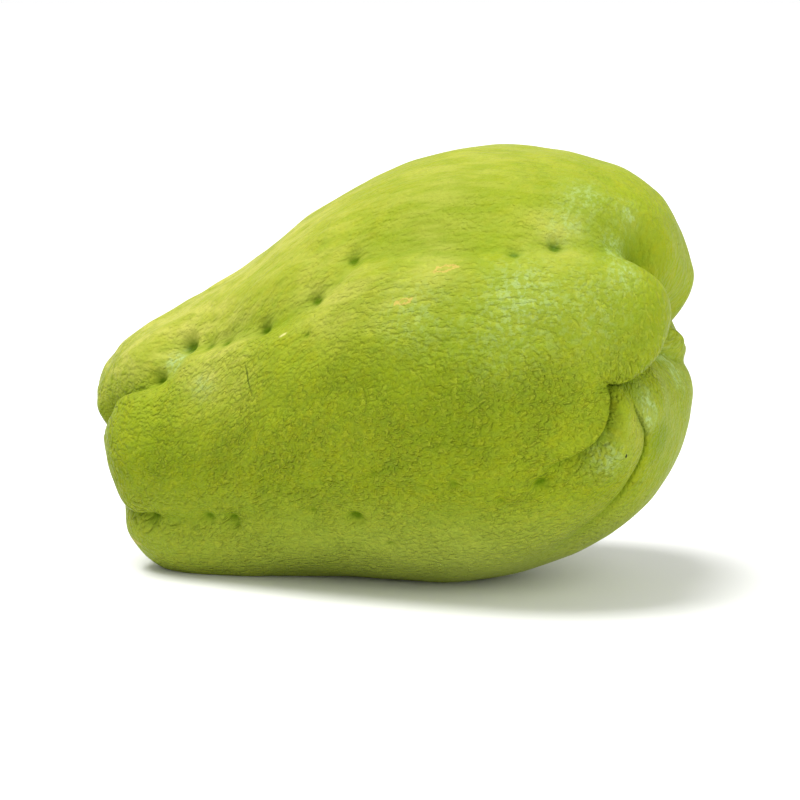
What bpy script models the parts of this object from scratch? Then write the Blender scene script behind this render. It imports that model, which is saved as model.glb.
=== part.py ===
"""Chayote squash lying on its side: one solid fruit with five lobes and a cleft blossom end.

The skin starts as rings laid between an upper and a lower outline. Furrows are then pressed in
between the lobes, the lobes are swelled at their ends, and the underside is levelled where it rests.
+X runs from the stem end to the blossom end, +Z is up, and the origin is under the middle, on the floor.
"""

import bpy
import bmesh
import numpy as np

# Driving dimensions. Tables are in millimetres and degrees, the finished mesh in metres.
MM = 0.001
RINGS = 28                    # cage rings from the stem end to the blossom end
RING_POINTS = 44              # cage points round each ring
CROWDING = 0.3                # how much closer the rings stand at the blossom end
HEART_HEIGHT = 46.0           # height of the fruit's heart, which furrows are pressed toward
HEART_SHARE = 0.62            # how far along the ring centres the heart reaches
CROSSING = 2.5                # how far apart in depth two furrows may be and still be rounded together
FLAT_SOFTNESS = 0.3           # height over which the skin rolls into its resting face

# Share of the way from the stem end (0) to the blossom end (1), then the top outline's
# x and z, the bottom outline's x and z, and half the width across.
OUTLINE = [
    (0.00, -60.0, 32.0, -60.0, 32.0, 0.0),
    (0.05, -65.7, 38.5, -62.0, 24.0, 8.5),
    (0.10, -62.3, 45.5, -57.0, 14.8, 15.5),
    (0.18, -52.0, 53.0, -52.5, 5.2, 24.0),
    (0.30, -33.2, 64.0, -39.0, -3.6, 30.5),
    (0.42, -13.7, 78.2, -15.0, -2.0, 36.5),
    (0.55, 9.0, 88.7, 8.0, -1.6, 41.0),
    (0.66, 26.0, 90.7, 25.0, 0.2, 42.5),
    (0.77, 43.0, 87.9, 41.0, 7.0, 40.0),
    (0.86, 54.2, 81.4, 53.3, 16.8, 32.0),
    (0.93, 59.8, 70.5, 60.0, 29.2, 20.5),
    (0.97, 59.3, 60.5, 60.0, 39.0, 10.5),
    (1.00, 55.0, 51.0, 55.0, 51.0, 0.0),
]

# Each furrow's route: share along, angle round the ring (0 at the front, 90 on top),
# depth, and how far its wall reaches on the lower and on the higher angles' side.
FURROWS = {
    "front_top": [
        (0.03, -24, 1.4, 6, 8), (0.08, -15, 3.0, 5, 10), (0.11, 1, 4.8, 5, 11), (0.14, 13, 5.2, 6, 13),
        (0.19, 25, 4.6, 7, 14), (0.27, 38, 3.4, 9, 15), (0.33, 36, 3.2, 9, 15), (0.40, 29, 3.0, 9, 16),
        (0.51, 38, 2.4, 9, 16), (0.65, 37, 1.9, 9, 17), (0.78, 41, 2.1, 10, 15), (0.85, 46, 3.6, 9, 14),
        (0.91, 50, 5.6, 6, 12), (0.95, 56, 6.8, 5, 10), (0.98, 90, 7.5, 6, 8),
    ],
    "front_low": [
        (0.03, -46, 2.5, 7, 8), (0.12, -42, 4.4, 7, 8), (0.20, -36, 4.0, 8, 8), (0.28, -31, 2.0, 9, 10),
        (0.45, -31, 0.9, 14, 16), (0.70, -35, 0.6, 12, 12), (0.775, -30, 1.4, 9, 7), (0.81, -24, 4.2, 7, 5),
        (0.85, -19, 5.8, 6, 5), (0.868, -4, 6.6, 5, 5),
    ],
    "mouth": [
        (0.868, -4, 6.6, 6, 5), (0.90, -4, 8.5, 10, 6), (0.94, 6, 9.5, 13, 7), (0.985, 35, 9.0, 10, 8),
        (0.98, 90, 8.0, 9, 8),
    ],
    "under_mouth": [
        (0.868, -4, 5.4, 8, 4), (0.888, -9, 4.0, 9, 4.5), (0.905, -25, 3.2, 10, 5), (0.91, -40, 2.9, 10, 5),
        (0.88, -54, 2.5, 10, 6), (0.81, -64, 1.9, 12, 9), (0.762, -69, 1.3, 12, 11), (0.50, -86, 0.2, 12, 12),
        (0.25, -84, 1.6, 11, 11), (0.03, -75, 2.5, 8, 8),
    ],
    "back_low": [
        (0.99, 190, 6.0, 9, 9), (0.96, 196, 3.2, 8, 8), (0.93, 195, 2.8, 8, 8), (0.88, 198, 3.0, 9, 9),
        (0.70, 201, 2.6, 13, 13), (0.40, 202, 2.0, 13, 13), (0.15, 200, 2.5, 10, 10), (0.03, 195, 2.5, 8, 8),
    ],
    "back_top": [
        (0.98, 100, 8.0, 8, 8), (0.968, 156, 8.0, 6.5, 11), (0.94, 170, 7.5, 8, 12), (0.90, 166, 6.0, 10, 12),
        (0.80, 150, 3.8, 12, 13), (0.65, 135, 2.4, 13, 14), (0.40, 124, 2.0, 13, 14),
        (0.15, 118, 2.8, 10, 11), (0.03, 105, 2.5, 8, 8),
    ],
}

# Where a lobe swells or shrinks: share along, angle, reach, and height of the swelling.
SWELLINGS = [
    (0.935, 20, 9.0, 3.0),     # nose of the front lobe, over the mouth
    (0.850, 90, 10.0, 0.5),    # shoulder of the top lobe
    (0.925, 90, 14.0, 0.4),    # end of the top lobe
    (0.950, 132, 7.0, 0.7),    # back of the same end
    (0.962, 150, 6.0, 2.4),    # lowest part of the same end
    (0.920, -130, 16.0, 1.0),  # end of the bottom lobe
    (0.946, -145, 8.0, -0.9),  # side of the bottom lobe's end
    (0.885, -78, 9.0, 0.8),    # underside of the bottom lobe's end
    (0.900, 170, 10.0, -3.6),  # end of the small back lobe
    (0.957, 183, 5.0, -0.8),   # the tip of the same lobe
    (0.875, -33, 9.0, 2.5),    # wedge-shaped lobe under the mouth
    (0.884, -14, 3.5, 2.2),    # the tip of the wedge, at the corner of the mouth
    (0.170, -60, 15.0, 3.2),   # lowest lobe at the stem end
    (0.290, -62, 14.0, 0.8),   # the same lobe where it meets the ground
    (0.150, -6, 9.0, 1.5),     # front lobe at the stem end
]


def smooth_curve(rows, at):
    """Natural cubic curve through rows of (position, values...), read at the given positions."""
    rows = np.array(rows, float)
    knots, values = rows[:, 0], rows[:, 1:]
    gaps = np.diff(knots)
    slopes = np.diff(values, axis=0) / gaps[:, None]
    system = np.eye(len(knots))
    bends = np.zeros_like(values)
    for k in range(1, len(knots) - 1):
        system[k, k - 1:k + 2] = gaps[k - 1], 2 * (gaps[k - 1] + gaps[k]), gaps[k]
        bends[k] = 6 * (slopes[k] - slopes[k - 1])
    bends = np.linalg.solve(system, bends)
    k = np.clip(np.searchsorted(knots, at, side="right") - 1, 0, len(knots) - 2)
    gap = gaps[k][:, None]
    after = np.asarray(at)[:, None] - knots[k][:, None]
    before = gap - after
    return ((bends[k] * before**3 + bends[k + 1] * after**3) / (6 * gap)
            + (values[k] / gap - bends[k] * gap / 6) * before
            + (values[k + 1] / gap - bends[k + 1] * gap / 6) * after)


def ring_skin(share, angle):
    """Points of the plain skin: an ellipse between the outlines, at each share and angle."""
    top_x, top_z, low_x, low_z, half_width = smooth_curve(OUTLINE, share).T
    rise = np.sin(angle)
    x = (top_x + low_x) / 2 + (top_x - low_x) / 2 * rise
    y = -half_width * np.cos(angle)
    z = (top_z + low_z) / 2 + (top_z - low_z) / 2 * rise
    return np.column_stack([x, y, z])


def toward_heart(points, share):
    """Unit directions from the skin's points to the heart line inside the fruit."""
    top_x, top_z, low_x, low_z, _ = smooth_curve(OUTLINE, share).T
    heart = np.zeros_like(points)
    heart[:, 0] = HEART_SHARE * (top_x + low_x) / 2
    heart[:, 2] = 0.75 * (top_z + low_z) / 2 + 0.25 * HEART_HEIGHT
    inward = heart - points
    return inward / np.linalg.norm(inward, axis=1, keepdims=True)


def furrow_line(route, steps=70):
    """A furrow's points on the plain skin, and the depth and wall widths at each of them."""
    route = np.array(route, float)
    reach = 1 - route[:, 0]                 # seen from the blossom end, as distance from its tip
    turn = np.radians(route[:, 1])
    flat = np.column_stack([reach * np.cos(turn), reach * np.sin(turn)])
    travelled = np.concatenate([[0], np.cumsum(np.linalg.norm(np.diff(flat, axis=0), axis=1))])
    rows = np.column_stack([travelled, flat, route[:, 2:]])
    line = smooth_curve(rows, np.linspace(0, travelled[-1], steps))
    share = 1 - np.hypot(line[:, 0], line[:, 1])
    return ring_skin(share, np.arctan2(line[:, 1], line[:, 0])), line[:, 2:]


def furrow_depth(points, route):
    """How deep a furrow is at each point: a round-shouldered valley on each side of its line."""
    line, profile = furrow_line(route)
    nearest = np.full(len(points), np.inf)
    depth = np.zeros(len(points))
    heart = np.array([0, 0, HEART_HEIGHT])
    for k in range(len(line) - 1):
        run = line[k + 1] - line[k]
        part_way = np.clip((points - line[k]) @ run / (run @ run), 0, 1)
        off = points - line[k] - part_way[:, None] * run
        distance = np.linalg.norm(off, axis=1)
        across = np.cross(line[k] - heart, run)
        across /= np.linalg.norm(across)
        side = 0.5 + 0.5 * (off @ across) / np.maximum(distance, 1e-6)
        here = profile[k] + part_way[:, None] * (profile[k + 1] - profile[k])
        wall = here[:, 1] * (1 - side) + here[:, 2] * side
        closer = distance < nearest
        nearest = np.where(closer, distance, nearest)
        fade = np.clip(1 - distance / wall, 0, 1)
        valley = here[:, 0] * (1 - np.sqrt(1 - fade**2) + np.sin(np.pi / 2 * fade)**2) / 2
        depth = np.where(closer, valley, depth)
    return depth


def deeper(one, other):
    """The deeper of two hollows, rounded over where they cross and are about as deep."""
    reach = np.minimum(CROSSING, 1.5 * np.minimum(one, other)) + 1e-6
    near = np.maximum(reach - np.abs(one - other), 0) / reach
    return np.maximum(one, other) + near**2 * reach / 4


def fruit_points(share, angle):
    """The finished skin in metres: plain skin, swellings, furrows and the levelled underside."""
    points = ring_skin(share, angle)
    inward = toward_heart(points, share)
    push = np.zeros(len(points))
    for route in FURROWS.values():
        push = deeper(push, furrow_depth(points, route))
    for at_share, at_angle, reach, height in SWELLINGS:
        middle = ring_skin(np.array([at_share]), np.radians([at_angle]))
        push -= height * np.exp(-(np.linalg.norm(points - middle, axis=1) / reach)**2)
    points = points + inward * push[:, None]
    near_floor = np.clip(1 - np.abs(points[:, 2]) / FLAT_SOFTNESS, 0, 1)
    points[:, 2] = np.maximum(points[:, 2], 0) + near_floor**2 * FLAT_SOFTNESS / 4
    return points * MM


def skin_material():
    """Smooth, slightly waxy yellow-green skin."""
    skin = bpy.data.materials.new("skin")
    skin.use_nodes = True
    shader = skin.node_tree.nodes["Principled BSDF"]
    shader.inputs["Base Color"].default_value = (0.36, 0.47, 0.06, 1)
    shader.inputs["Roughness"].default_value = 0.45
    shader.inputs["Metallic"].default_value = 0
    return skin


def build_chayote(collection):
    """A sphere's rings and meridians carried onto the fruit's skin, then subdivided smooth."""
    cage = bmesh.new()
    bmesh.ops.create_uvsphere(cage, u_segments=RING_POINTS, v_segments=RINGS, radius=1)
    ball = np.array([vert.co for vert in cage.verts])
    even = np.arccos(np.clip(-ball[:, 2], -1, 1)) / np.pi
    share = even + CROWDING * np.sin(np.pi * even) / np.pi
    angle = np.pi - np.arctan2(ball[:, 1], ball[:, 0])
    for vert, point in zip(cage.verts, fruit_points(share, angle)):
        vert.co = point
    mesh = bpy.data.meshes.new("chayote")
    cage.to_mesh(mesh)
    cage.free()
    mesh.shade_smooth()
    mesh.materials.append(skin_material())
    fruit = bpy.data.objects.new("chayote", mesh)
    collection.objects.link(fruit)
    smooth = fruit.modifiers.new("smooth_skin", "SUBSURF")
    smooth.levels = 1
    smooth.render_levels = 1
    return fruit


def stand_on_origin(fruit):
    """Moves the mesh so that the middle of its box is over the origin and its face is at z = 0."""
    bpy.context.view_layer.update()
    finished = fruit.evaluated_get(bpy.context.evaluated_depsgraph_get()).to_mesh()
    points = np.array([vert.co for vert in finished.vertices])
    low, high = points.min(axis=0), points.max(axis=0)
    for vert in fruit.data.vertices:
        vert.co.x -= (low[0] + high[0]) / 2
        vert.co.y -= (low[1] + high[1]) / 2
        vert.co.z -= low[2]


for old in list(bpy.data.objects):
    bpy.data.objects.remove(old, do_unlink=True)

chayote_squash = bpy.data.collections.new("chayote_squash")
bpy.context.scene.collection.children.link(chayote_squash)
stand_on_origin(build_chayote(chayote_squash))
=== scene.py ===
"""Chayote squash on its side: the finished fruit, a pale floor, soft studio light and the camera."""

import bpy
import numpy as np
from mathutils import Matrix, Vector


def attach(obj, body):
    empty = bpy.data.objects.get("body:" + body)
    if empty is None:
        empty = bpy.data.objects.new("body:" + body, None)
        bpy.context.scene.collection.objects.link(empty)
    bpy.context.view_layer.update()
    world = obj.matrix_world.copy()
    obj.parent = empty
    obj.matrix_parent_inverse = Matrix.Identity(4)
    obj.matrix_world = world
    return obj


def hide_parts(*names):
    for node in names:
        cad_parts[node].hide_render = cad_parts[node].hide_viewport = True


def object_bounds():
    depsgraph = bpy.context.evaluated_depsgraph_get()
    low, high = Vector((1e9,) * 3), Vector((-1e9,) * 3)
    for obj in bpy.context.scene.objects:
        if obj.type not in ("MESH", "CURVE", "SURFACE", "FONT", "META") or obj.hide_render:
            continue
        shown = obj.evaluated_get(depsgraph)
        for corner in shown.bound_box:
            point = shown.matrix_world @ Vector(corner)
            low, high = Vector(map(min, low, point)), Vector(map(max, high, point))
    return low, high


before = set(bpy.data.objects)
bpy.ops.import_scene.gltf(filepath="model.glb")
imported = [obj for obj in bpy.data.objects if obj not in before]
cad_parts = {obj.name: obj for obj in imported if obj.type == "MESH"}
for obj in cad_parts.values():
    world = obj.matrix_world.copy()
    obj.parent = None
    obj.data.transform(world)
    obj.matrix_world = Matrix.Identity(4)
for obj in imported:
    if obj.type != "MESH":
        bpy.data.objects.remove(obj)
cad_low, cad_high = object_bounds()


# The fruit
# A chayote squash, grown in one piece: firm flesh under a thin, waxy, pebbled green skin. Five lobes
# run from the pinched stem end to the blossom end, where they fold in on a slanting mouth, with pits
# along the furrows between them. It lies loose, on a levelled patch of its side.

MM = 0.001
RINGS = 340                   # rings of the grid, from the stem end to the blossom end
RING_POINTS = 280             # points round each ring
START_ANGLE = -np.pi / 2      # each ring starts underneath, where the seam of the UV map is out of sight
COARSE_RINGS = 160            # rings of the coarse skin that is measured first
COARSE_STEPS = 360            # steps round each of its rings, one degree each
MEASURED_STEPS = slice(60, 240)   # those that rings are spaced by, from low on the front to over the top
POLE_MARGIN = 0.002           # share of the way that the coarse skin leaves off at each pole
HEART_HEIGHT = 46.0           # height of the fruit's heart, which hollows are pressed toward, in mm
HEART_LENGTH = 0.62           # length of the heart line, as a share of the line of ring centres
HEART_BOW = 0.75              # share of the ring centres' rise and fall that the heart line keeps
FURROW_POINTS = 70            # points along the line that each furrow follows
FURROW_REACH = 30.0           # distance beyond which a furrow is not felt, in mm
CLOSEST = 0.01                # added to each distance from a furrow, in mm, so that none is zero
NEARNESS_POWER = 8            # how strongly a furrow's nearest stretch outweighs its others
CREASE_REACH = 0.6            # share of a furrow's wall that its crease takes up
LEAN_PEAK = 0.3               # share of a furrow's wall at which a fold leans over most
PIT_STRETCH = 1.3             # how much longer a pit is along the fruit than across it
PIT_DEEPENING = 1.3           # how much deeper the pits are than their table says
GRAIN_RUN = 160.0             # length in mm that tilts the skin's grain to follow the ring centres
FLAT_SOFTNESS = 0.3           # height over which the skin rolls into its resting face, in mm

# Share of the way from the stem end (0) to the blossom end (1), then the top outline's x and z, the
# bottom outline's x and z, and half the width across, in mm.
OUTLINE = [
    (0.00, -60.0, 32.0, -60.0, 32.0, 0.0),
    (0.05, -65.7, 38.5, -62.0, 24.0, 8.5),
    (0.10, -62.3, 45.5, -57.0, 14.8, 15.5),
    (0.18, -52.0, 53.0, -52.5, 5.2, 24.0),
    (0.30, -33.2, 64.0, -39.0, -3.6, 30.5),
    (0.42, -13.7, 78.2, -15.0, -2.0, 36.5),
    (0.55, 9.0, 88.7, 8.0, -1.2, 41.0),
    (0.66, 26.0, 90.7, 25.0, 0.8, 42.5),
    (0.77, 43.0, 87.9, 41.0, 7.2, 40.0),
    (0.86, 54.2, 81.4, 53.3, 16.8, 32.0),
    (0.93, 59.8, 70.5, 60.0, 29.2, 20.5),
    (0.97, 59.3, 60.5, 60.0, 39.0, 10.5),
    (1.00, 55.0, 51.0, 55.0, 51.0, 0.0),
]

# Furrow routes: share along, angle round the ring in degrees (0 at the front, 90 on top), depth in mm,
# reach of the wall on the lower and on the higher angles' side in mm, crispness of each wall from 0 to
# 1, and how far in mm the higher side folds over the lower one (the lower over the higher if negative).
FURROWS = {
    "front_top": [
        (0.03, -24, 1.5, 4, 8, 0.8, 0.3, 0.0), (0.08, -15, 3.6, 3.5, 9, 0.9, 0.3, -1.6),
        (0.11, 1, 5.6, 3, 11, 0.9, 0.3, -1.8), (0.14, 13, 5.2, 3, 13, 0.9, 0.3, -1.5),
        (0.19, 25, 4.6, 4, 14, 0.8, 0.3, -0.8), (0.23, 29.5, 3.8, 8, 15, 0.4, 0.2, 0.0),
        (0.27, 40, 3.4, 7, 14, 0.4, 0.2, 0.0), (0.33, 36, 3.2, 6.5, 15, 0.5, 0.2, 0.0),
        (0.40, 29, 3.0, 6, 16, 0.5, 0.2, 0.0), (0.46, 30, 2.7, 6, 16, 0.5, 0.1, 0.0),
        (0.51, 38, 2.4, 6, 16, 0.5, 0.1, 0.0), (0.60, 36, 2.0, 6.5, 17, 0.5, 0.1, 0.0),
        (0.72, 38, 1.8, 7, 17, 0.5, 0.1, 0.0), (0.78, 41, 2.1, 8, 15, 0.4, 0.1, 0.0),
        (0.83, 45, 2.9, 10, 14, 0.3, 0.1, 0.0), (0.88, 50, 5.0, 7, 13, 0.6, 0.1, 0.0),
        (0.93, 51, 6.2, 5, 11, 0.8, 0.2, -0.8), (0.96, 62, 7.0, 5, 9, 0.8, 0.4, -0.8),
        (0.98, 90, 7.5, 6, 8, 0.7, 0.5, 0.0),
    ],
    "front_low": [
        (0.03, -46, 2.5, 7, 8, 0.5, 0.5, 0.0), (0.12, -42, 4.4, 7, 8, 0.7, 0.6, 0.0),
        (0.17, -39, 4.8, 6, 6, 0.8, 0.8, 0.5), (0.23, -34, 3.6, 7, 6, 0.8, 0.8, 0.5),
        (0.28, -31, 2.2, 9, 10, 0.5, 0.5, 0.0), (0.36, -30, 1.3, 12, 13, 0.2, 0.2, 0.0),
        (0.45, -31, 0.9, 14, 16, 0.1, 0.1, 0.0), (0.60, -34, 0.7, 14, 14, 0.1, 0.1, 0.0),
        (0.70, -35, 0.6, 12, 12, 0.1, 0.1, 0.0), (0.77, -29, 1.0, 9, 7, 0.2, 0.4, 0.0),
        (0.795, -25.5, 3.4, 7, 3.6, 0.4, 0.95, 1.3), (0.82, -23.5, 5.6, 8, 2.8, 0.3, 0.95, 2.1),
        (0.848, -20, 6.2, 7, 2.8, 0.4, 0.95, 2.2), (0.862, -14, 6.0, 5, 3, 0.6, 0.9, 1.7),
        (0.868, -4, 6.6, 4, 3.5, 0.7, 0.9, 1.2),
    ],
    "mouth": [
        (0.868, -4, 6.6, 5, 4, 0.6, 0.9, 1.4), (0.90, -4, 8.5, 10, 4.2, 0.4, 0.9, 2.0),
        (0.93, 2, 9.5, 14, 4.8, 0.1, 0.9, 2.2), (0.955, 12, 9.5, 13, 6, 0.2, 0.8, 1.6),
        (0.985, 35, 9.0, 10, 7, 0.6, 0.7, 0.0), (0.98, 90, 8.0, 9, 8, 0.7, 0.7, 0.0),
    ],
    "under_mouth": [
        (0.868, -4, 5.4, 8, 3, 0.5, 0.8, 0.6), (0.888, -9, 4.0, 10, 3.6, 0.75, 0.75, 0.8),
        (0.906, -25, 3.0, 11, 3.8, 0.8, 0.75, 0.9), (0.911, -40, 2.7, 11, 4.0, 0.8, 0.75, 0.9),
        (0.894, -49, 2.5, 11, 4.5, 0.8, 0.75, 1.0), (0.86, -58, 2.2, 11, 5.5, 0.8, 0.8, 1.0),
        (0.81, -64, 1.9, 12, 7, 0.5, 0.6, 0.5), (0.762, -69, 1.3, 12, 10, 0.3, 0.3, 0.0),
        (0.50, -86, 0.2, 12, 12, 0.2, 0.2, 0.0), (0.25, -84, 1.6, 11, 11, 0.4, 0.4, 0.0),
        (0.03, -75, 2.5, 8, 8, 0.5, 0.5, 0.0),
    ],
    "back_low": [
        (0.99, 190, 6.0, 9, 9, 0.6, 0.6, 0.0), (0.96, 196, 3.0, 7, 7, 0.6, 0.6, 0.0),
        (0.93, 195, 2.7, 7, 7, 0.5, 0.5, 0.0), (0.88, 198, 3.0, 9, 9, 0.4, 0.4, 0.0),
        (0.70, 201, 2.6, 13, 13, 0.3, 0.3, 0.0), (0.40, 202, 2.0, 13, 13, 0.25, 0.25, 0.0),
        (0.15, 200, 2.5, 10, 10, 0.4, 0.4, 0.0), (0.03, 195, 2.5, 8, 8, 0.5, 0.5, 0.0),
    ],
    "back_top": [
        (0.98, 100, 8.0, 8, 8, 0.6, 0.6, 0.0), (0.968, 156, 8.0, 5.5, 11, 0.7, 0.3, 0.0),
        (0.94, 170, 7.5, 7, 12, 0.6, 0.3, 0.0), (0.90, 166, 6.0, 10, 12, 0.5, 0.3, 0.0),
        (0.80, 150, 3.8, 12, 13, 0.3, 0.3, 0.0), (0.65, 135, 2.4, 13, 14, 0.3, 0.3, 0.0),
        (0.40, 124, 2.0, 13, 14, 0.3, 0.3, 0.0), (0.15, 118, 2.8, 10, 11, 0.4, 0.4, 0.0),
        (0.03, 105, 2.5, 8, 8, 0.5, 0.5, 0.0),
    ],
}

# Where a lobe swells or shrinks: share along, angle, reach in mm, height of the swelling in mm.
SWELLINGS = [
    (0.935, 20, 9.0, 3.0),     # nose of the front lobe, over the mouth
    (0.850, 90, 10.0, 0.5),    # shoulder of the top lobe
    (0.925, 90, 14.0, 0.4),    # end of the top lobe
    (0.950, 132, 7.0, 0.7),    # back of the same end
    (0.962, 150, 6.0, 2.4),    # lowest part of the same end
    (0.920, -130, 16.0, 1.0),  # end of the bottom lobe
    (0.900, 170, 10.0, -3.6),  # end of the small back lobe
    (0.957, 183, 5.0, -0.8),   # the tip of the same lobe
    (0.875, -33, 9.0, 2.5),    # wedge-shaped lobe under the mouth
    (0.884, -14, 3.5, 2.2),    # the tip of the wedge, at the corner of the mouth
    (0.946, -145, 8.0, -0.9),  # side of the bottom lobe's end
    (0.885, -78, 9.0, 0.8),    # underside of the bottom lobe's end
    (0.890, 59, 3.8, -2.4),    # hollow beside the nose
    (0.170, -60, 15.0, 3.2),   # lowest lobe at the stem end
    (0.290, -62, 14.0, 0.8),   # the same lobe where it meets the ground
    (0.150, -6, 9.0, 1.5),     # front lobe at the stem end
]

# Pits, most of them in the furrows: share along, angle, radius in mm, depth in mm.
PITS = [
    (0.214, 31, 1.6, 1.6), (0.258, 45, 2.0, 1.9), (0.300, 38, 2.0, 0.8), (0.328, 35, 1.8, 0.9),
    (0.388, 31, 1.5, 1.8), (0.433, 19, 0.9, 0.5), (0.458, 20, 1.0, 0.9), (0.458, 32, 1.5, 1.6),
    (0.500, 41, 1.5, 1.6), (0.721, 37, 1.4, 1.2), (0.771, 42, 1.6, 1.5),
    (0.240, -34, 1.5, 1.2), (0.328, -30.5, 1.3, 1.1), (0.358, -32.5, 1.3, 1.3), (0.362, -35.8, 1.0, 0.8),
    (0.457, -33, 0.9, 0.8), (0.511, -36.5, 1.6, 1.5), (0.550, -46.5, 0.9, 0.7), (0.653, -25.5, 1.0, 0.8),
    (0.713, -33.5, 0.9, 0.8), (0.768, -32, 1.6, 1.4), (0.591, 15, 0.8, 0.5), (0.420, 205, 1.6, 1.2),
    (0.560, 198, 1.3, 0.9), (0.640, 202, 1.7, 1.3), (0.330, 127, 1.5, 1.2), (0.520, 128, 1.4, 1.0),
    (0.700, 141, 1.7, 1.3), (0.210, 205, 1.5, 1.0), (0.600, 165, 0.9, 0.6), (0.450, 160, 0.9, 0.6),
    (0.380, 236, 1.0, 0.6), (0.740, 225, 1.1, 0.7),
]

# Uneven growth: height in mm, size of its lumps along, across and up the fruit in mm, and random seed.
UNEVENNESS = [
    (0.22, [13, 9, 9], 3),          # broad swells all over
    (0.20, [7, 3.8, 3.8], 5),       # smaller swells all over
    (0.42, [15, 2.8, 2.8], 8),      # long ridges on the upper lobe's stem half
    (0.20, [6, 2.4, 2.4], 11),      # low folds on the front lobe
]


def smooth_curve(rows, at):
    """Natural cubic curve through rows of (position, values...), read at the given positions.

    Between two rows each value is a cubic whose bend, its second derivative, runs straight from one
    row to the next. The bends are solved for, so that slopes agree at every row; the end ones are 0.
    """
    rows = np.array(rows, float)
    knots, values = rows[:, 0], rows[:, 1:]
    gaps = np.diff(knots)
    slopes = np.diff(values, axis=0) / gaps[:, None]
    system = np.eye(len(knots))
    bends = np.zeros_like(values)
    for k in range(1, len(knots) - 1):
        system[k, k - 1:k + 2] = gaps[k - 1], 2 * (gaps[k - 1] + gaps[k]), gaps[k]
        bends[k] = 6 * (slopes[k] - slopes[k - 1])
    bends = np.linalg.solve(system, bends)
    k = np.clip(np.searchsorted(knots, at, side="right") - 1, 0, len(knots) - 2)
    gap = gaps[k][:, None]
    after = np.asarray(at)[:, None] - knots[k][:, None]
    before = gap - after
    return ((bends[k] * before**3 + bends[k + 1] * after**3) / (6 * gap)
            + (values[k] / gap - bends[k] * gap / 6) * before
            + (values[k + 1] / gap - bends[k + 1] * gap / 6) * after)


def ramp(values, start, end):
    """0 on the start's side, 1 past the end, and straight between; the end may be below the start."""
    return np.clip((values - start) / (end - start), 0, 1)


def ring_skin(share, angle):
    """Plain skin: at each share an ellipse between the outlines, its half width across.

    x and z swing between the outlines with the sine of the angle, y with its cosine.
    """
    top_x, top_z, low_x, low_z, half_width = smooth_curve(OUTLINE, share).T
    swing = np.sin(angle)
    x = (top_x + low_x) / 2 + (top_x - low_x) / 2 * swing
    y = -half_width * np.cos(angle)
    z = (top_z + low_z) / 2 + (top_z - low_z) / 2 * swing
    return np.column_stack([x, y, z])


def toward_heart(points, share):
    """Unit directions from the skin's points to the heart line.

    The heart line is the line of ring centres, shortened by its length share and drawn toward the
    heart's height by what its bow share leaves over.
    """
    top_x, top_z, low_x, low_z, _ = smooth_curve(OUTLINE, share).T
    heart = np.zeros_like(points)
    heart[:, 0] = HEART_LENGTH * (top_x + low_x) / 2
    heart[:, 2] = HEART_BOW * (top_z + low_z) / 2 + (1 - HEART_BOW) * HEART_HEIGHT
    inward = heart - points
    return inward / np.linalg.norm(inward, axis=1, keepdims=True)


def furrow_line(route):
    """A furrow's points on the plain skin, and its depth, walls, crispness and fold at each of them.

    The route is smoothed on the flat disc seen from the blossom end, whose radius is 1 - share.
    """
    route = np.array(route, float)
    reach = 1 - route[:, 0]
    turn = np.radians(route[:, 1])
    flat = np.column_stack([reach * np.cos(turn), reach * np.sin(turn)])
    travelled = np.concatenate([[0], np.cumsum(np.linalg.norm(np.diff(flat, axis=0), axis=1))])
    rows = np.column_stack([travelled, flat, route[:, 2:]])
    line = smooth_curve(rows, np.linspace(0, travelled[-1], FURROW_POINTS))
    share = 1 - np.hypot(line[:, 0], line[:, 1])
    return ring_skin(share, np.arctan2(line[:, 1], line[:, 0])), line[:, 2:]


def furrow_press(points, route):
    """How deep a furrow is at each point, and how far its folded wall leans over it.

    Each wall mixes a soft slope, half of 1 plus the cosine of the way across it, with a
    round-shouldered crease, an upturned quarter circle over its inner part; crispness sets the share
    of the crease. The lean grows as distance times e to the minus distance. Each stretch of the line
    counts by its distance to the power of minus 8.
    """
    line, profile = furrow_line(route)
    heart = np.array([0, 0, HEART_HEIGHT])
    depth = np.zeros(len(points))
    lean = np.zeros_like(points)
    total = np.full(len(points), 1e-30)
    for k in range(len(line) - 1):
        run = line[k + 1] - line[k]
        part_way = np.clip((points - line[k]) @ run / (run @ run), 0, 1)
        off = points - line[k] - part_way[:, None] * run
        distance = np.linalg.norm(off, axis=1) + CLOSEST
        near = distance < FURROW_REACH
        off, distance, part_way = off[near], distance[near], part_way[near, None]
        across = np.cross(line[k] - heart, run)
        across /= np.linalg.norm(across)
        side = 0.5 + 0.5 * (off @ across) / distance
        here = (profile[k] + part_way * (profile[k + 1] - profile[k])).T
        deep, low_wall, high_wall, low_crisp, high_crisp, fold = here
        wall = low_wall + side * (high_wall - low_wall)
        crisp = low_crisp + side * (high_crisp - low_crisp)
        slope = 0.5 + 0.5 * np.cos(np.pi * np.clip(distance / wall, 0, 1))
        crease = 1 - np.sqrt(1 - np.clip(1 - distance / (CREASE_REACH * wall), 0, 1)**2)
        out = distance / (LEAN_PEAK * wall)
        folded = fold * np.where(fold > 0, side, 1 - side) * out * np.exp(1 - out)
        weight = distance**-NEARNESS_POWER
        depth[near] += weight * deep * ((1 - crisp) * slope + crisp * crease)
        lean[near] -= across * (weight * folded)[:, None]
        total[near] += weight
    return depth / total, lean / total[:, None]


def deeper(one, other, blend=2.5):
    """The deeper of two hollows, rounded over where they cross and are about as deep.

    The rounding adds a quarter of its reach, times the square of 1 minus their difference over it.
    Its reach is the blend in mm, or 1.5 times the shallower hollow where that is less.
    """
    reach = np.minimum(blend, 1.5 * np.minimum(one, other)) + 1e-6
    near = np.maximum(reach - np.abs(one - other), 0) / reach
    return np.maximum(one, other) + near**2 * reach / 4


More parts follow.
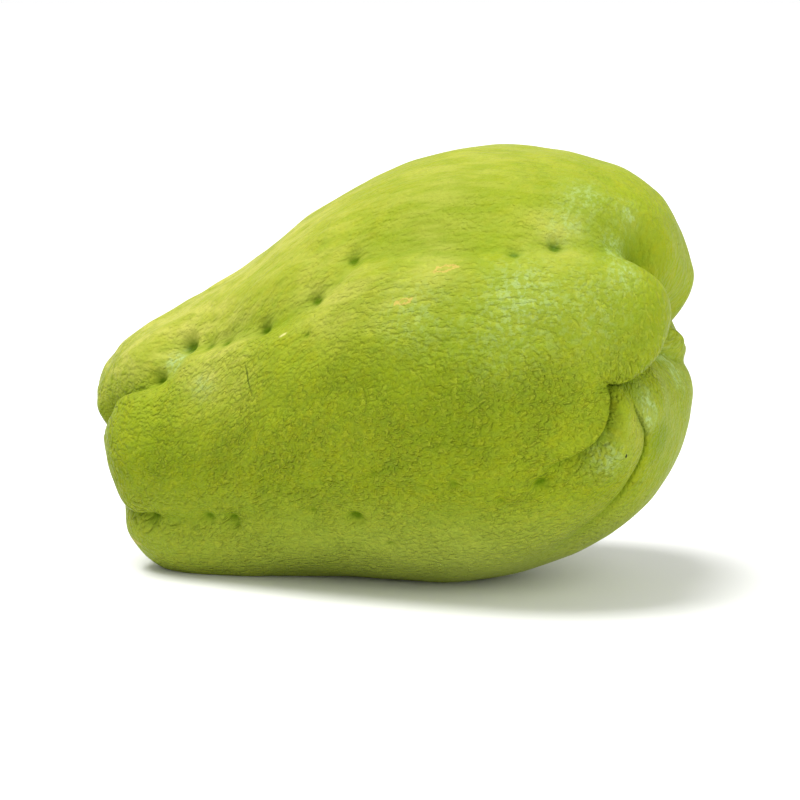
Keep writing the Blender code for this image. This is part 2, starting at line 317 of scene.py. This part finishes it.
def bumps(points, table, drawn_out=1.0, steepness=2):
    """Sum of swellings: height times e to the minus (distance over reach) to the power of steepness."""
    total = np.zeros(len(points))
    for share, angle, reach, height in table:
        middle = ring_skin(np.array([share]), np.radians([angle]))
        off = (points - middle) / [drawn_out, 1, 1]
        total += height * np.exp(-(np.linalg.norm(off, axis=1) / reach)**steepness)
    return total


def lumps(places, size, seed):
    """Smooth random heights from -1 to 1: a cubic lattice of random values, blended by smoothstep."""
    lattice_size = 32
    cells = places / size
    corner = np.floor(cells).astype(int)
    part = cells - corner
    part = part**2 * (3 - 2 * part)
    lattice = np.random.default_rng(seed).uniform(-1, 1, (lattice_size,) * 3)
    total = np.zeros(len(places))
    for step in np.ndindex(2, 2, 2):
        weight = np.where(step, part, 1 - part).prod(axis=1)
        total += weight * lattice[tuple(((corner + step) % lattice_size).T)]
    return total


def grain_places(points, share):
    """Coordinates in mm that run with the fruit's grain, which follows the ring centres up and down.

    The first is x times the cosine plus z times the sine of the grain's tilt, the second y, and the
    third the height over the ring's centre. The tangent of the tilt is twice the height of the ring's
    centre over the heart, divided by the grain's run.
    """
    top_x, top_z, low_x, low_z, _ = smooth_curve(OUTLINE, share).T
    tilt = np.arctan2(top_z + low_z - 2 * HEART_HEIGHT, GRAIN_RUN)
    along = points[:, 0] * np.cos(tilt) + points[:, 2] * np.sin(tilt)
    return np.column_stack([along, points[:, 1], points[:, 2] - (top_z + low_z) / 2])


def uneven_growth(points, share, angle):
    """Height of the uneven growth in mm: each sort's height times its lumps, faded out at the poles.

    The ridges come in with the sine of the angle, on the stem half, and the folds with its cosine.
    """
    places = grain_places(points, share)
    broad, small, ridges, folds = (height * lumps(places, size, seed) for height, size, seed in UNEVENNESS)
    upper = ramp(np.sin(angle), 0.2, 0.7) * ramp(share, 0.62, 0.37)
    front = ramp(np.cos(angle - 0.15), 0.375, 1.0)
    fading = ramp(share, 0, 0.06) * ramp(share, 1, 0.92)
    return (broad + small + ridges * upper + folds * front) * fading


def fruit_skin(share, angle):
    """Finished skin points in mm, and how deep each lies under the plain skin.

    Furrows, pits and uneven growth press a point toward the heart, swellings push it out, and folds
    lean it over. Below the floor's height it is flat, rounded over by a square law at the edge.
    """
    points = ring_skin(share, angle)
    push = np.zeros(len(points))
    lean = np.zeros_like(points)
    for route in FURROWS.values():
        depth, leaning = furrow_press(points, route)
        push = deeper(push, depth)
        lean += leaning
    pits = PIT_DEEPENING * bumps(points, PITS, PIT_STRETCH, steepness=3)
    push += pits - bumps(points, SWELLINGS) + uneven_growth(points, share, angle)
    points = points + lean + toward_heart(points, share) * push[:, None]
    near_floor = ramp(np.abs(points[:, 2]), FLAT_SOFTNESS, 0)
    points[:, 2] = np.maximum(points[:, 2], 0) + near_floor**2 * FLAT_SOFTNESS / 4
    return points, push


def even_steps(lengths, count):
    """Places, from 0 to 1, that cut a row of step lengths into count equal stretches."""
    travelled = np.concatenate([[0], np.cumsum(lengths)])
    steps = np.linspace(0, travelled[-1], count + 1)
    return np.interp(steps, travelled, np.linspace(0, 1, len(travelled)))


def blurred(rows, width):
    """Each row averaged with its neighbours, width rows on either side."""
    padded = np.concatenate([rows[:1].repeat(width, 0), rows, rows[-1:].repeat(width, 0)])
    return sum(padded[k:k + len(rows)] for k in range(2 * width + 1)) / (2 * width + 1)


def fruit_grid():
    """Share and angle at each grid point, spaced so that furrow walls get as many faces as flat skin.

    A coarse skin is measured first. Rings are spread evenly along the mean length of its front and
    top, and the points of each ring evenly along that ring, starting underneath.
    """
    coarse_share = np.linspace(POLE_MARGIN, 1 - POLE_MARGIN, COARSE_RINGS)
    coarse_turn = np.linspace(0, 1, COARSE_STEPS + 1)
    share, turn = np.meshgrid(coarse_share, coarse_turn, indexing="ij")
    points, _ = fruit_skin(share.ravel(), START_ANGLE + 2 * np.pi * turn.ravel())
    points = points.reshape(*share.shape, 3)
    along = np.linalg.norm(np.diff(points, axis=0), axis=2)[:, MEASURED_STEPS].mean(axis=1)
    around = blurred(np.linalg.norm(np.diff(points, axis=1), axis=2), width=3)
    ring_share = np.interp(even_steps(along, RINGS)[1:-1], np.linspace(0, 1, COARSE_RINGS), coarse_share)
    turns = np.empty((RINGS - 1, RING_POINTS))
    for ring, row in enumerate(np.interp(ring_share, coarse_share, np.arange(COARSE_RINGS))):
        low = min(int(row), COARSE_RINGS - 2)
        lengths = around[low] + (row - low) * (around[low + 1] - around[low])
        turns[ring] = even_steps(lengths, RING_POINTS)[:-1]
    ring_angle = START_ANGLE + 2 * np.pi * blurred(turns, width=2)
    return ring_share[:, None].repeat(RING_POINTS, axis=1), ring_angle


def rounded(points, push):
    """Grid points averaged 1-2-1 with their neighbours: once, half way, and in folds four times, fully.

    A fold is skin more than 1.5 mm under the plain skin, and wholly so past 3 mm.
    """
    grid = points.reshape(RINGS - 1, RING_POINTS, 3)
    folded = ramp(push.reshape(RINGS - 1, RING_POINTS, 1), 1.5, 3.0)
    for amount in (0.5 + 0.5 * folded, folded, folded, folded):
        mean = (np.roll(grid, 1, axis=1) + 2 * grid + np.roll(grid, -1, axis=1)) / 4
        mean[1:-1] = (mean[:-2] + 2 * mean[1:-1] + mean[2:]) / 4
        grid = grid + (mean - grid) * amount
    return grid.reshape(-1, 3)


def settled(points):
    """Points in mm turned into metres and moved, so that their box is centred and stands as the CAD's."""
    low, high = points.min(axis=0), points.max(axis=0)
    points = points * MM + (np.array(cad_low) + cad_high) / 2 - (low + high) / 2 * MM
    points[:, 2] += cad_low[2] - points[:, 2].min()
    return points


def skin_faces():
    """Corners and UV places of every face: quads between rings, and a fan of triangles at each pole.

    Point 0 is the stem pole; the rings follow it in order, and the blossom pole comes last. u is the
    share of the way round a ring, v the share of the way along.
    """
    ring, spoke = np.meshgrid(np.arange(RINGS - 2), np.arange(RING_POINTS), indexing="ij")
    ring, spoke = ring.ravel(), spoke.ravel()
    after = (spoke + 1) % RING_POINTS
    here, onward = 1 + ring * RING_POINTS, 1 + (ring + 1) * RING_POINTS
    quads = np.column_stack([here + spoke, here + after, onward + after, onward + spoke])
    quads_u = np.column_stack([spoke, spoke + 1, spoke + 1, spoke]) / RING_POINTS
    quads_v = np.column_stack([ring, ring, ring + 1, ring + 1]) / RINGS + 1 / RINGS
    rim = np.arange(RING_POINTS)
    rim_after = (rim + 1) % RING_POINTS
    last_ring = 1 + (RINGS - 2) * RING_POINTS
    blossom_pole = 1 + (RINGS - 1) * RING_POINTS
    stem_fan = np.column_stack([np.zeros_like(rim), 1 + rim_after, 1 + rim])
    blossom_fan = np.column_stack([np.full_like(rim, blossom_pole), last_ring + rim, last_ring + rim_after])
    stem_u = np.column_stack([rim + 0.5, rim + 1, rim]) / RING_POINTS
    blossom_u = np.column_stack([rim + 0.5, rim, rim + 1]) / RING_POINTS
    stem_v = np.tile([0, 1 / RINGS, 1 / RINGS], RING_POINTS)
    blossom_v = np.tile([1, 1 - 1 / RINGS, 1 - 1 / RINGS], RING_POINTS)
    u = np.concatenate([quads_u.ravel(), stem_u.ravel(), blossom_u.ravel()])
    v = np.concatenate([quads_v.ravel(), stem_v, blossom_v])
    return quads.tolist() + stem_fan.tolist() + blossom_fan.tolist(), np.column_stack([u, v])


def softened(grid, width):
    """Grid averaged over a square of width rings and points on either side."""
    for axis in (0, 1):
        grid = sum(np.roll(grid, k, axis=axis) for k in range(-width, width + 1)) / (2 * width + 1)
    return grid


def tell_skin(name, values):
    """Stores a number or a vector for each point of the skin, for its material to read."""
    values = np.asarray(values, np.float32)
    kind, slot = ("FLOAT", "value") if values.ndim == 1 else ("FLOAT_VECTOR", "vector")
    fruit_data.attributes.new(name, kind, "POINT").data.foreach_set(slot, values.ravel())


ring_share, ring_angle = fruit_grid()
fruit_share = np.concatenate([[0.0], ring_share.ravel(), [1.0]])
fruit_angle = np.concatenate([[0.0], ring_angle.ravel(), [0.0]])
fruit_points, fruit_push = fruit_skin(fruit_share, fruit_angle)
fruit_points[1:-1] = rounded(fruit_points[1:-1], fruit_push[1:-1])
fruit_points = settled(fruit_points)
fruit_faces, fruit_uv = skin_faces()
fruit_data = bpy.data.meshes.new("fruit_skin")
fruit_data.from_pydata(fruit_points, [], fruit_faces)
fruit_data.shade_smooth()
fruit_data.uv_layers.new(name="OFBake").uv.foreach_set("vector", fruit_uv.astype(np.float32).ravel())
fruit = bpy.data.objects.new("chayote_skin", fruit_data)
bpy.context.scene.collection.objects.link(fruit)

# Patches of skin: share along, angle, reach in mm, strength. The sunned ones are yellower, the waxed
# ones dusty white, and the greened ones darker green; two of these, just under the mouth's lip, are
# painted shadow from the lip.
PATCHES = {
    "sunned": [
        (0.41, 72, 18, 0.9), (0.265, 66, 16, 1.0), (0.595, 66, 16, 0.5), (0.13, 70, 12, 1.2),
        (0.48, 30, 9, 0.8), (0.34, 24, 9, 0.9), (0.62, 34, 8, 0.7), (0.70, 95, 22, 0.4),
        (0.77, 43, 8, 0.7), (0.55, 25, 8, 0.4), (0.90, -29, 5, 0.4), (0.30, 130, 20, 0.6),
        (0.60, 150, 22, 0.5),
    ],
    "waxed": [
        (0.787, 62, 4.5, 0.7), (0.776, 50, 4.0, 0.6), (0.853, 65, 2.8, 0.9), (0.855, 50, 3.2, 0.8),
        (0.870, 38, 3.5, 0.8), (0.737, 26, 6.0, 0.7), (0.719, 14, 9.0, 0.35), (0.245, 38, 2.8, 1.3),
        (0.922, -23, 2.6, 1.3), (0.922, -30, 2.2, 1.0), (0.975, -131, 2.2, 1.2), (0.980, -150, 4.5, 0.8),
        (0.854, -31, 3.6, 0.7), (0.835, 22, 9.0, 0.4), (0.321, 19, 3.0, 0.6), (0.60, 20, 7.0, 0.4),
        (0.80, 130, 8.0, 0.8), (0.70, 200, 9.0, 0.7), (0.90, 215, 7.0, 0.8), (0.55, 110, 8.0, 0.6),
    ],
    "greened_and_shaded": [
        (0.61, 50, 12, 1.1), (0.79, 55, 10, 1.0), (0.13, 33, 7, 1.2), (0.10, 0, 5, 0.6),
        (0.66, 68, 12, 0.3), (0.53, 8, 9, 0.5), (0.66, 12, 8, 0.4), (0.66, -6, 12, 0.6),
        (0.76, 2, 8, 0.3), (0.25, 2, 10, 0.5), (0.30, -13, 9, 0.3), (0.37, -4, 9, 0.2),
        (0.44, -48, 15, 0.45), (0.930, -50, 4.0, 1.3), (0.22, -55, 10, 0.3), (0.66, 30, 5, 0.4),
        # The second and third patches on the next line, just under the mouth's lip, are painted shadow.
        (0.90, 20, 7, 0.3), (0.905, -7, 3.2, 1.3), (0.915, -17, 2.6, 0.9), (0.50, 180, 16, 0.6),
        (0.70, 240, 14, 0.5),
    ],
}

# How strongly the skin is pebbled: angle round the ring, strength.
PEBBLING = [
    (-180, 0.6), (-100, 0.6), (-70, 0.6), (-45, 0.85), (-30, 1.1), (-5, 1.2), (15, 0.9), (30, 0.65),
    (42, 0.32), (90, 0.25), (130, 0.45), (180, 0.6),
]

# Each pit's core is painted darker: partly the pit's own deeper green, partly painted shade.
PIT_CORE = 0.6                # reach of a pit's dark core, as a share of the pit's
PIT_CORE_STRETCH = 1.4        # how much longer the core is along the fruit than across it
# Below this height the underside is painted paler: painted light thrown up from the floor.
FLOOR_LIGHT_HEIGHT = 24 * MM    # height up to which the skin pales toward its underside, in metres

plain_points = ring_skin(fruit_share, fruit_angle)
facing = (np.degrees(fruit_angle) + 180) % 360 - 180

# How far in mm a point lies below the skin round it, which picks out furrows, folds and pits, and
# the shade painted into them.
push_grid = fruit_push[1:-1].reshape(RINGS - 1, RING_POINTS)
sunken = np.concatenate([[0.0], (push_grid - softened(push_grid, width=9)).ravel(), [0.0]])

# Pebbles are weaker under the mouth and in the furrows. Long wrinkles lie on the front lobe's upper side.
near_mouth = ramp(fruit_share, 0.84, 0.88) * ramp(facing, -5, -15)
calm = (1 - 0.45 * near_mouth) * (1 - 0.7 * ramp(sunken, 0, 2.5))
upper_front = ramp(facing, 4, 16) * ramp(facing, 46, 34)
underside = ramp(fruit_points[:, 2], FLOOR_LIGHT_HEIGHT, 0)
pit_shade_cores = [(share, angle, PIT_CORE * reach, depth) for share, angle, reach, depth in PITS]

tell_skin("grain", grain_places(plain_points, fruit_share) * MM)
# Painted shade: hollows, furrows and pits darkened, as shade falls in them.
tell_skin("hollow_shade", ramp(sunken, 0, 1.2))
# Painted shade: the deepest folds darkened, as shade falls in them.
tell_skin("crease_shade", ramp(sunken, 1.6, 3.6))
# Pit cores darker: partly their own deeper green, partly painted shade.
tell_skin("pit_tint_and_shade", np.clip(bumps(plain_points, pit_shade_cores, PIT_CORE_STRETCH), 0, 1))
# Painted light from the floor: the underside paler, more so toward the blossom end.
tell_skin("painted_floor_light", underside * np.clip(2.2 * fruit_share - 0.3, 0.4, 1.1))
tell_skin("pebbled", np.interp(facing, *np.transpose(PEBBLING)) * calm)
tell_skin("wrinkled", 0.75 * upper_front * ramp(fruit_share, 0.36, 0.56))
tell_skin("pinched", ramp(fruit_share, 0.17, 0.11))
for look, patches in PATCHES.items():
    tell_skin(look, np.clip(bumps(plain_points, patches), 0, 1))

BODY_GREEN = (0.236, 0.293, 0.011, 1)
DEEP_GREEN = (0.204, 0.259, 0.012, 1)
OLIVE_GREEN = (0.283, 0.294, 0.008, 1)
LEAF_GREEN = (0.186, 0.284, 0.018, 1)
DARK_GREEN = (0.138, 0.205, 0.003, 1)
# Painted light from the floor, on the underside.
PAINTED_FLOOR_LIGHT = (0.390, 0.460, 0.085, 1)
SUN_YELLOW = (0.400, 0.400, 0.075, 1)
# Painted shade in the low places between pebbles and gathers.
CREVICE_SHADE_GREEN = (0.130, 0.185, 0.010, 1)
# Painted highlight on the crests of pebbles and wrinkles.
CREST_HIGHLIGHT_GREEN = (0.330, 0.380, 0.030, 1)
HAZY_GREEN = (0.230, 0.292, 0.040, 1)
# Painted shade in hollows; also the colour of one faint streak.
HOLLOW_SHADE_AND_STREAK_GREEN = (0.105, 0.190, 0.004, 1)
# A pit's core: its own deeper green and painted shade.
PIT_GREEN_AND_SHADE = (0.068, 0.128, 0.002, 1)
# Painted shade in the deep folds.
CREASE_SHADE_DARK = (0.050, 0.075, 0.003, 1)
WAX_WHITE = (0.320, 0.430, 0.160, 1)
SCAR_TAN = (0.480, 0.350, 0.085, 1)
FLECK_PALE = (0.620, 0.590, 0.240, 1)
SCRATCH_BROWN = (0.070, 0.100, 0.010, 1)
SPECK_BLACK = (0.012, 0.015, 0.008, 1)
STEM_BROWN = (0.170, 0.125, 0.035, 1)

PEBBLE_SIZE = 0.82            # spacing of the pebbles, in mm
RELIEF_DEPTH = 0.45           # height in mm of a pebble or wrinkle of strength 1
SKIN_ROUGHNESS = 0.40
WAX_ROUGHNESS = 0.25          # what wax adds to it
SKIN_GLEAM = 0.02             # specular level; the skin hardly mirrors the room
GLEAM_TINT = (0.8, 0.95, 0.3, 1)

skin = bpy.data.materials.new("skin")
skin.use_nodes = True
shader = skin.node_tree.nodes["Principled BSDF"]


def lay(kind, sockets, output=0, **settings):
    """Adds a node to the skin's material and hands back one of its outputs, by number or name.

    A socket takes a plain value or another node's output.
    """
    made = skin.node_tree.nodes.new("ShaderNode" + kind)
    for name, value in settings.items():
        setattr(made, name, value)
    for socket, value in sockets.items():
        if isinstance(value, bpy.types.NodeSocket):
            skin.node_tree.links.new(value, made.inputs[socket])
        else:
            made.inputs[socket].default_value = value
    return made.outputs[output]


def plus(one, other):
    """One number plus another."""
    return lay("Math", {0: one, 1: other}, operation="ADD")


def minus(one, other):
    """One number minus another."""
    return lay("Math", {0: one, 1: other}, operation="SUBTRACT")


def times(one, other):
    """One number times another."""
    return lay("Math", {0: one, 1: other}, operation="MULTIPLY")


def rise(value, low, high):
    """0 below low, 1 above high, and a smooth S between."""
    sockets = {"Value": value, "From Min": low, "From Max": high}
    return lay("MapRange", sockets, "Result", interpolation_type="SMOOTHSTEP")


def tint(share, under, over):
    """One colour over another: a share of the upper one plus the rest of the lower one."""
    return lay("Mix", {0: share, 6: under, 7: over}, 2, data_type="RGBA")


def cloud(place, size, detail, rough=0.5, output="Fac"):
    """Noise with lumps of about the given size in mm.

    Each step of detail adds lumps half as big as the last, and rough times as strong.
    """
    sockets = {"Vector": place, "Scale": 1 / (size * MM), "Detail": detail, "Roughness": rough}
    return lay("TexNoise", sockets, output)


def told(name, output="Fac"):
    """What the skin's points say under a name, blended across each face."""
    return lay("Attribute", {}, output, attribute_name=name)


def drawn(place, along, across=1.0):
    """Places scaled along and across the grain: a pattern read there is longer where the scale is less."""
    return lay("Mapping", {"Vector": place, "Scale": (along, across, across)})


place = told("grain", "Vector")
longer = drawn(place, 0.7)
combed = drawn(place, 0.22)

# Pebbles, drawn out along the fruit and pushed about, over small wrinkles.
swirl = cloud(place, size=1.5, detail=2, output="Color")
wander = lay("VectorMath", {0: swirl, 1: (0.5, 0.5, 0.5)}, operation="SUBTRACT")
wander = lay("VectorMath", {0: wander, "Scale": 1.6 * MM}, operation="SCALE")
pushed_about = lay("VectorMath", {0: longer, 1: wander}, operation="ADD")
cells = {"Vector": pushed_about, "Scale": 1 / (PEBBLE_SIZE * MM), "Smoothness": 0.7}
dome = minus(1.0, rise(lay("TexVoronoi", cells, "Distance", feature="SMOOTH_F1"), 0.0, 0.8))
wrinkle = rise(cloud(longer, size=0.75, detail=1, rough=0.4), 0.25, 0.75)
pebbly = plus(times(dome, 1.1), times(wrinkle, 0.6))

# On the front lobe's upper side, longer wrinkles take the pebbles' place.
wrinkled = told("wrinkled")
long_wrinkle = times(rise(cloud(drawn(place, 0.45), size=1.0, detail=2, rough=0.45), 0.43, 0.72), 0.95)
pebbly = plus(times(pebbly, minus(1.0, wrinkled)), times(long_wrinkle, wrinkled))

# Both come and go in patches. Smoother skin is finely streaked, and the stem end is gathered.
patchy = rise(cloud(place, size=11, detail=2), 0.36, 0.62)
coarse = times(plus(times(patchy, 0.4), 0.7), told("pebbled"))
streaky = times(cloud(combed, size=1.5, detail=2), minus(1.3, told("pebbled")))
fine = cloud(place, size=0.6, detail=2, rough=0.6)
gathers = cloud(drawn(place, 1, 0.15), size=0.9, detail=1)
height = plus(times(pebbly, coarse), times(streaky, 1.2))
height = plus(height, times(fine, 0.22))
height = plus(height, times(times(gathers, told("pinched")), 2.2))

# Colour starts from mottled greens. Each layer over them has its cover, its strength and its colour.
mottle = rise(cloud(place, size=7, detail=4, rough=0.6), 0.30, 0.70)
olive = rise(cloud(longer, size=2.4, detail=3, rough=0.6), 0.42, 0.64)
leafy = rise(cloud(longer, size=1.7, detail=3, rough=0.6, output="Color"), 0.44, 0.66)
sun_streaks = rise(cloud(combed, size=2.8, detail=3, rough=0.6), 0.36, 0.64)
sun = times(told("sunned"), plus(0.45, times(sun_streaks, 0.6)))
# Painted shade: the low places between the pebbles darkened.
valley_shade = times(minus(1.0, rise(pebbly, 0.3, 1.1)), coarse)
# Painted highlight: the crests of the pebbles, and next of the long wrinkles, paled.
crest_highlight = times(rise(pebbly, 0.8, 1.5), coarse)
long_crest_highlight = times(minus(long_wrinkle, 0.25), wrinkled)
# Painted shade: the grooves between the stem end's gathers darkened.
gather_shade = times(minus(1.0, rise(gathers, 0.38, 0.56)), told("pinched"))
haze = rise(cloud(place, size=1.4, detail=3), 0.40, 0.66)
flaky = rise(cloud(place, size=1.3, detail=3, rough=0.65), 0.46, 0.62)
wax = times(told("waxed"), plus(0.18, times(flaky, 0.62)))
layers = [
    (olive, 0.40, OLIVE_GREEN),
    (leafy, 0.35, LEAF_GREEN),
    # darker green patches, and painted shadow just under the mouth's lip
    (told("greened_and_shaded"), 0.70, DARK_GREEN),
    # painted light from the floor, paling the underside
    (told("painted_floor_light"), 0.80, PAINTED_FLOOR_LIGHT),
    (sun, 1.0, SUN_YELLOW),
    # painted shade between the pebbles
    (valley_shade, 0.30, CREVICE_SHADE_GREEN),
    # painted highlight on the pebbles' crests
    (crest_highlight, 0.32, CREST_HIGHLIGHT_GREEN),
    # painted shade between the gathers
    (gather_shade, 0.45, CREVICE_SHADE_GREEN),
    # painted highlight on the long wrinkles' crests
    (long_crest_highlight, 0.60, CREST_HIGHLIGHT_GREEN),
    (haze, 0.12, HAZY_GREEN),
    # painted shade in hollows, furrows and pits
    (told("hollow_shade"), 0.35, HOLLOW_SHADE_AND_STREAK_GREEN),
    # painted shade in the deep folds
    (told("crease_shade"), 0.60, CREASE_SHADE_DARK),
    # pit cores: their deeper green and painted shade
    (rise(told("pit_tint_and_shade"), 0.1, 1.15), 1.0, PIT_GREEN_AND_SHADE),
    (wax, 1.0, WAX_WHITE),
]
colour = tint(mottle, DEEP_GREEN, BODY_GREEN)
for cover, strength, over in layers:
    colour = tint(times(cover, strength), colour, over)


def on_skin(share, angle, turn):
    """Place of a mark in metres, and its turn: x along the skin toward the blossom end, z outward."""
    step_along, step_round = 0.004, 0.8
    shares = np.array([share, share + step_along, share])
    spots, _ = fruit_skin(shares, np.radians([angle, angle, angle + step_round]))
    shift = fruit_points[0] - fruit_skin(np.zeros(1), np.zeros(1))[0][0] * MM
    along, across = Vector(spots[1] - spots[0]).normalized(), Vector(spots[2] - spots[0])
    outward = along.cross(across).normalized()
    sideways = outward.cross(along)
    slant = np.cos(np.radians(turn)) * along + np.sin(np.radians(turn)) * sideways
    axes = Matrix((slant, outward.cross(slant), outward)).transposed()
    return Vector(spots[0] * MM + shift), axes.to_euler()


def mark(share, angle, turn, length, width, ragged):
    """How far from the middle of a mark, as a share of its half length and half width in mm.

    A ragged mark adds to that some noise, as far either way as half of its raggedness.
    """
    middle, facing = on_skin(share, angle, turn)
    sockets = {"Vector": lay("TexCoord", {}, "Object"), "Location": middle, "Rotation": facing,
               "Scale": (length * MM, width * MM, max(length, width) * MM)}
    local = lay("Mapping", sockets, vector_type="TEXTURE")
    far = lay("VectorMath", {0: local}, "Value", operation="LENGTH")
    return plus(far, times(minus(cloud(place, size=0.8, detail=2), 0.5), ragged))


def blot(far, soft):
    """1 inside a mark, fading to 0 over its soft edge."""
    return minus(1.0, rise(far, 1 - soft, 1 + soft))


# Scars, healed into tan rings: share along, angle, turn in degrees, half length and half width in mm.
SCARS = [(0.634, 31.5, 10, 2.8, 0.85), (0.583, 23.3, 8, 2.0, 0.65)]
for scar in SCARS:
    far = mark(*scar, ragged=1.7)
    ring = times(blot(far, 0.2), rise(far, 0.35, 0.85))
    colour = tint(plus(times(ring, 0.75), times(blot(far, 0.3), 0.12)), colour, SCAR_TAN)

# Other marks: the same numbers, then raggedness, softness of the edge, strength and colour.
MARKS = [
    (0.425, 23.1, 12, 0.9, 0.32, 0.0, 0.5, 0.70, FLECK_PALE),      # a fleck
    (0.385, 14.1, 92, 3.0, 0.22, 0.0, 0.6, 0.85, SCRATCH_BROWN),   # a scratch, across the fruit
    (0.874, -32.5, 60, 0.42, 0.26, 0.3, 0.4, 1.00, SPECK_BLACK),   # a speck under the mouth
    (0.559, -20.5, 14, 5.5, 0.9, 0.8, 0.5, 0.30, HOLLOW_SHADE_AND_STREAK_GREEN),       # a faint streak
    (0.205, -50.5, 30, 2.4, 0.7, 0.8, 0.5, 0.50, SCAR_TAN),        # a rub near the ground
]
for *spot, soft, strength, over in MARKS:
    colour = tint(times(blot(mark(*spot), soft), strength), colour, over)

# The stem's scar, at the stem pole: brown out to 1.8 mm and faded by 3.4 mm, with an uneven edge.
places = {0: lay("TexCoord", {}, "Object"), 1: Vector(fruit_points[0])}
from_stem = lay("VectorMath", places, "Value", operation="DISTANCE")
from_stem = plus(from_stem, times(cloud(place, size=1.5, detail=2), 1.5 * MM))
colour = tint(minus(1.0, rise(from_stem, 1.8 * MM, 3.4 * MM)), colour, STEM_BROWN)

lumpy = cloud(place, size=3.6, detail=2)
felt = plus(times(height, 1.1), times(lumpy, 0.7))
normal = lay("Bump", {"Height": felt, "Distance": RELIEF_DEPTH * MM, "Strength": 1.0}, "Normal")
skin.node_tree.links.new(colour, shader.inputs["Base Color"])
skin.node_tree.links.new(normal, shader.inputs["Normal"])
skin.node_tree.links.new(plus(SKIN_ROUGHNESS, times(wax, WAX_ROUGHNESS)), shader.inputs["Roughness"])
shader.inputs["Specular IOR Level"].default_value = SKIN_GLEAM
shader.inputs["Specular Tint"].default_value = GLEAM_TINT
fruit_data.materials.append(skin)
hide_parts("chayote")
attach(fruit, "root")


# Floor
# A plain, pale, matt floor, far wider than the fruit, at the height of the flat face that the fruit
# rests on.

FLOOR_RADIUS = 6.0            # in metres
FLOOR_POINTS = 96
FLOOR_PAINT = (0.8, 0.8, 0.8, 1)
FLOOR_ROUGHNESS = 0.6

turns = np.linspace(0, 2 * np.pi, FLOOR_POINTS, endpoint=False)
floor_rim = np.column_stack([FLOOR_RADIUS * np.cos(turns), FLOOR_RADIUS * np.sin(turns),
                             np.full(FLOOR_POINTS, cad_low[2])])
floor_mesh = bpy.data.meshes.new("floor")
floor_mesh.from_pydata(floor_rim, [], [list(range(FLOOR_POINTS))])
floor = bpy.data.objects.new("floor", floor_mesh)
bpy.context.scene.collection.objects.link(floor)
paint = bpy.data.materials.new("floor_paint")
paint.use_nodes = True
paint.node_tree.nodes["Principled BSDF"].inputs["Base Color"].default_value = FLOOR_PAINT
paint.node_tree.nodes["Principled BSDF"].inputs["Roughness"].default_value = FLOOR_ROUGHNESS
floor_mesh.materials.append(paint)


# Studio light
# White air, brightest round the horizon, so that the floor fades into it, and dimmer overhead. A soft
# main lamp hangs high on the left, and a weaker, broader one fills in from the right.

DIMMING_STARTS = 0.05         # height on the sky, as the sine of its angle, at which the air starts to dim
DIMMING_ENDS = 0.35
OVERHEAD_STRENGTH = 0.6

world = bpy.data.worlds.new("studio")
world.use_nodes = True
air = world.node_tree.nodes["Background"]
air.inputs["Color"].default_value = (1, 1, 1, 1)
where = world.node_tree.nodes.new("ShaderNodeTexCoord")
upward = world.node_tree.nodes.new("ShaderNodeSeparateXYZ")
dimming = world.node_tree.nodes.new("ShaderNodeMapRange")
dimming.inputs["From Min"].default_value = DIMMING_STARTS
dimming.inputs["From Max"].default_value = DIMMING_ENDS
dimming.inputs["To Min"].default_value = 1.0
dimming.inputs["To Max"].default_value = OVERHEAD_STRENGTH
world.node_tree.links.new(where.outputs["Generated"], upward.inputs["Vector"])
world.node_tree.links.new(upward.outputs["Z"], dimming.inputs["Value"])
world.node_tree.links.new(dimming.outputs["Result"], air.inputs["Strength"])
bpy.context.scene.world = world


def soft_sun(name, toward, strength, spread):
    """Broad lamp far off in the given direction, spread over the given angle of sky in degrees."""
    lamp = bpy.data.lights.new(name, "SUN")
    lamp.energy = strength
    lamp.angle = np.radians(spread)
    stand = bpy.data.objects.new(name, lamp)
    stand.rotation_euler = Vector(toward).to_track_quat("Z", "Y").to_euler()
    bpy.context.scene.collection.objects.link(stand)


soft_sun("high_left_light", toward=(-0.26, -0.12, 0.93), strength=4.2, spread=32)
soft_sun("right_fill_light", toward=(0.78, -0.35, 0.45), strength=1.6, spread=60)


# Camera
# A long lens on a tripod, 0.64 m from the fruit's middle, low and a little to the right of square on.
# It points just below the middle, and has no shift and no depth of field.

CAMERA_TURN = np.radians(18)  # to the right of square on
CAMERA_RISE = np.radians(8)   # above level
CAMERA_DISTANCE = 0.64        # in metres, as are the places below
LENS = 136.8                  # focal length in mm, on a frame 36 mm wide
MIDDLE = Vector((0.0012, 0, 0.043))
AIM_RIGHT = 0.00116           # how far to the right of the middle the lens points, and how far below it
AIM_BELOW = 0.00632

back = Vector((np.sin(CAMERA_TURN) * np.cos(CAMERA_RISE), -np.cos(CAMERA_TURN) * np.cos(CAMERA_RISE),
               np.sin(CAMERA_RISE)))
right = Vector((np.cos(CAMERA_TURN), np.sin(CAMERA_TURN), 0))
up = back.cross(right)
camera = bpy.data.cameras.new("camera")
camera.lens = LENS
camera.sensor_width = 36
tripod = bpy.data.objects.new("camera", camera)
tripod.location = MIDDLE + CAMERA_DISTANCE * back
aim = MIDDLE + AIM_RIGHT * right - AIM_BELOW * up - tripod.location
tripod.rotation_euler = aim.to_track_quat("-Z", "Y").to_euler()
bpy.context.scene.collection.objects.link(tripod)
bpy.context.scene.camera = tripod
bpy.context.scene.view_settings.view_transform = "Standard"
